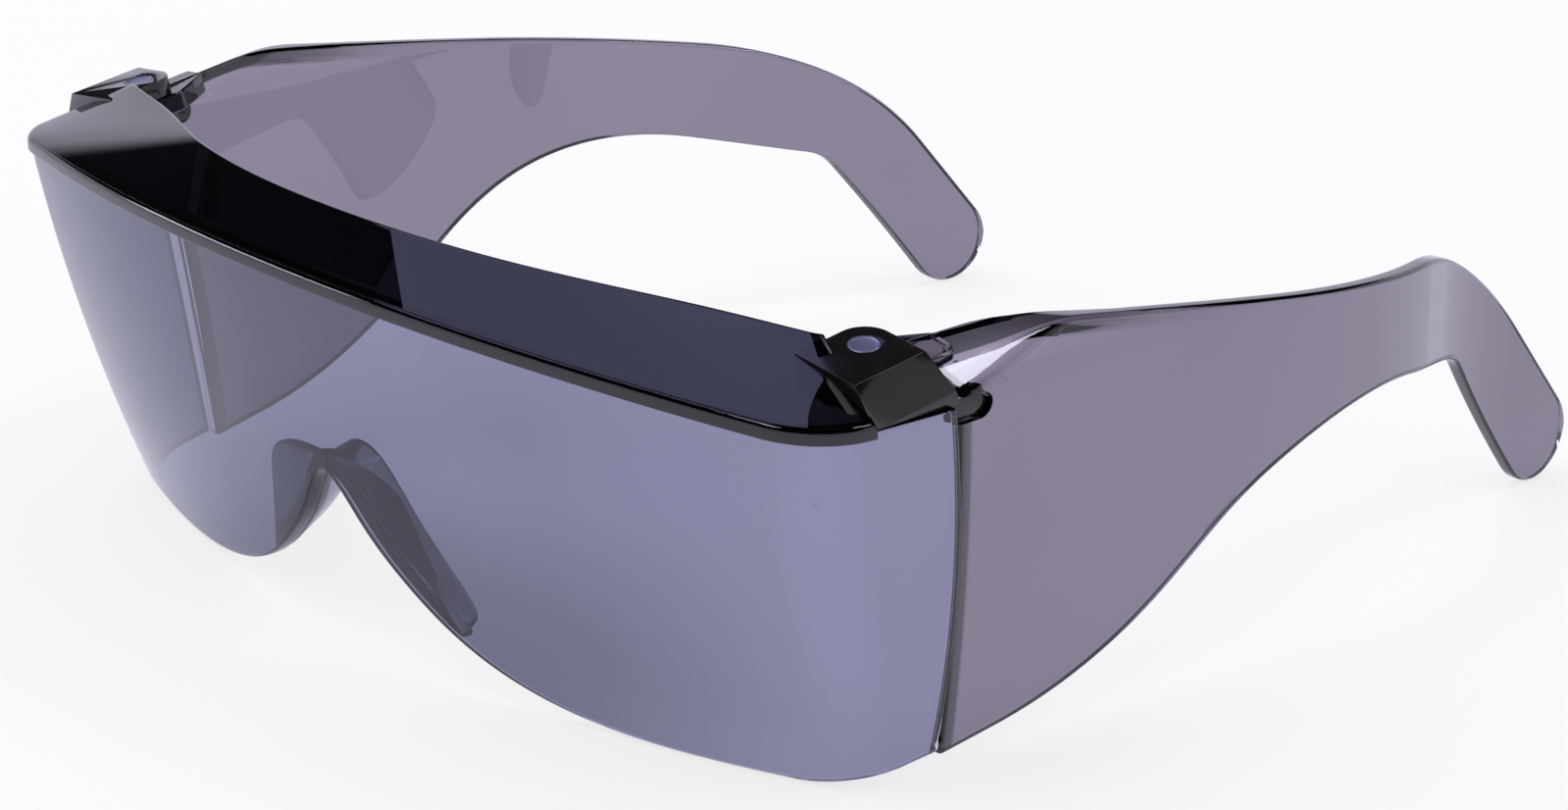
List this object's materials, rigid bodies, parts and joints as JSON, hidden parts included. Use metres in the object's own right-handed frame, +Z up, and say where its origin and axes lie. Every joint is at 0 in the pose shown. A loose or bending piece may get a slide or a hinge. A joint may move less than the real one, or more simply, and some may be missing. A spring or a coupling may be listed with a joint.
{
  "type": "fitover sunglasses",
  "caption": "Wraparound fitover sunglasses with a one-piece tinted shield, a sloped brow ledge and deep folding temples on leaning hinge pins.",
  "frame": {"origin": "on the table, in the middle of the width and of the depth", "axes": "+Z up, +Y from the lens towards the ears, +X towards the wearer's left"},
  "size_m": [0.1564, 0.1648, 0.0564],
  "materials": {
    "lens_tint": "gloss",
    "brow_tint": "gloss",
    "nose_tint": "gloss",
    "block_black": "gloss",
    "pin_metal": "satin",
    "temple_tint": "gloss"
  },
  "bodies": {
    "front": {"lens_shield": "lens_tint", "brow_guard": "brow_tint", "nose_piece": "nose_tint", "hinge_block_left": "block_black", "hinge_block_right": "block_black", "hinge_pin_left": "pin_metal", "hinge_pin_right": "pin_metal"},
    "temple_left": {"temple_left": "temple_tint"},
    "temple_right": {"temple_right": "temple_tint"}
  },
  "joints": [
    {"name": "temple_left_fold", "type": "hinge", "parent": "front", "child": "temple_left", "pos_m": [0.0693, -0.05523, 0.05245], "axis": [0.1308, -0.1465, 0.9805], "range_deg": [0, 88]},
    {"name": "temple_right_fold", "type": "hinge", "parent": "front", "child": "temple_right", "pos_m": [-0.0693, -0.05523, 0.05245], "axis": [0.1308, 0.1465, -0.9805], "range_deg": [0, 76]}
  ]
}
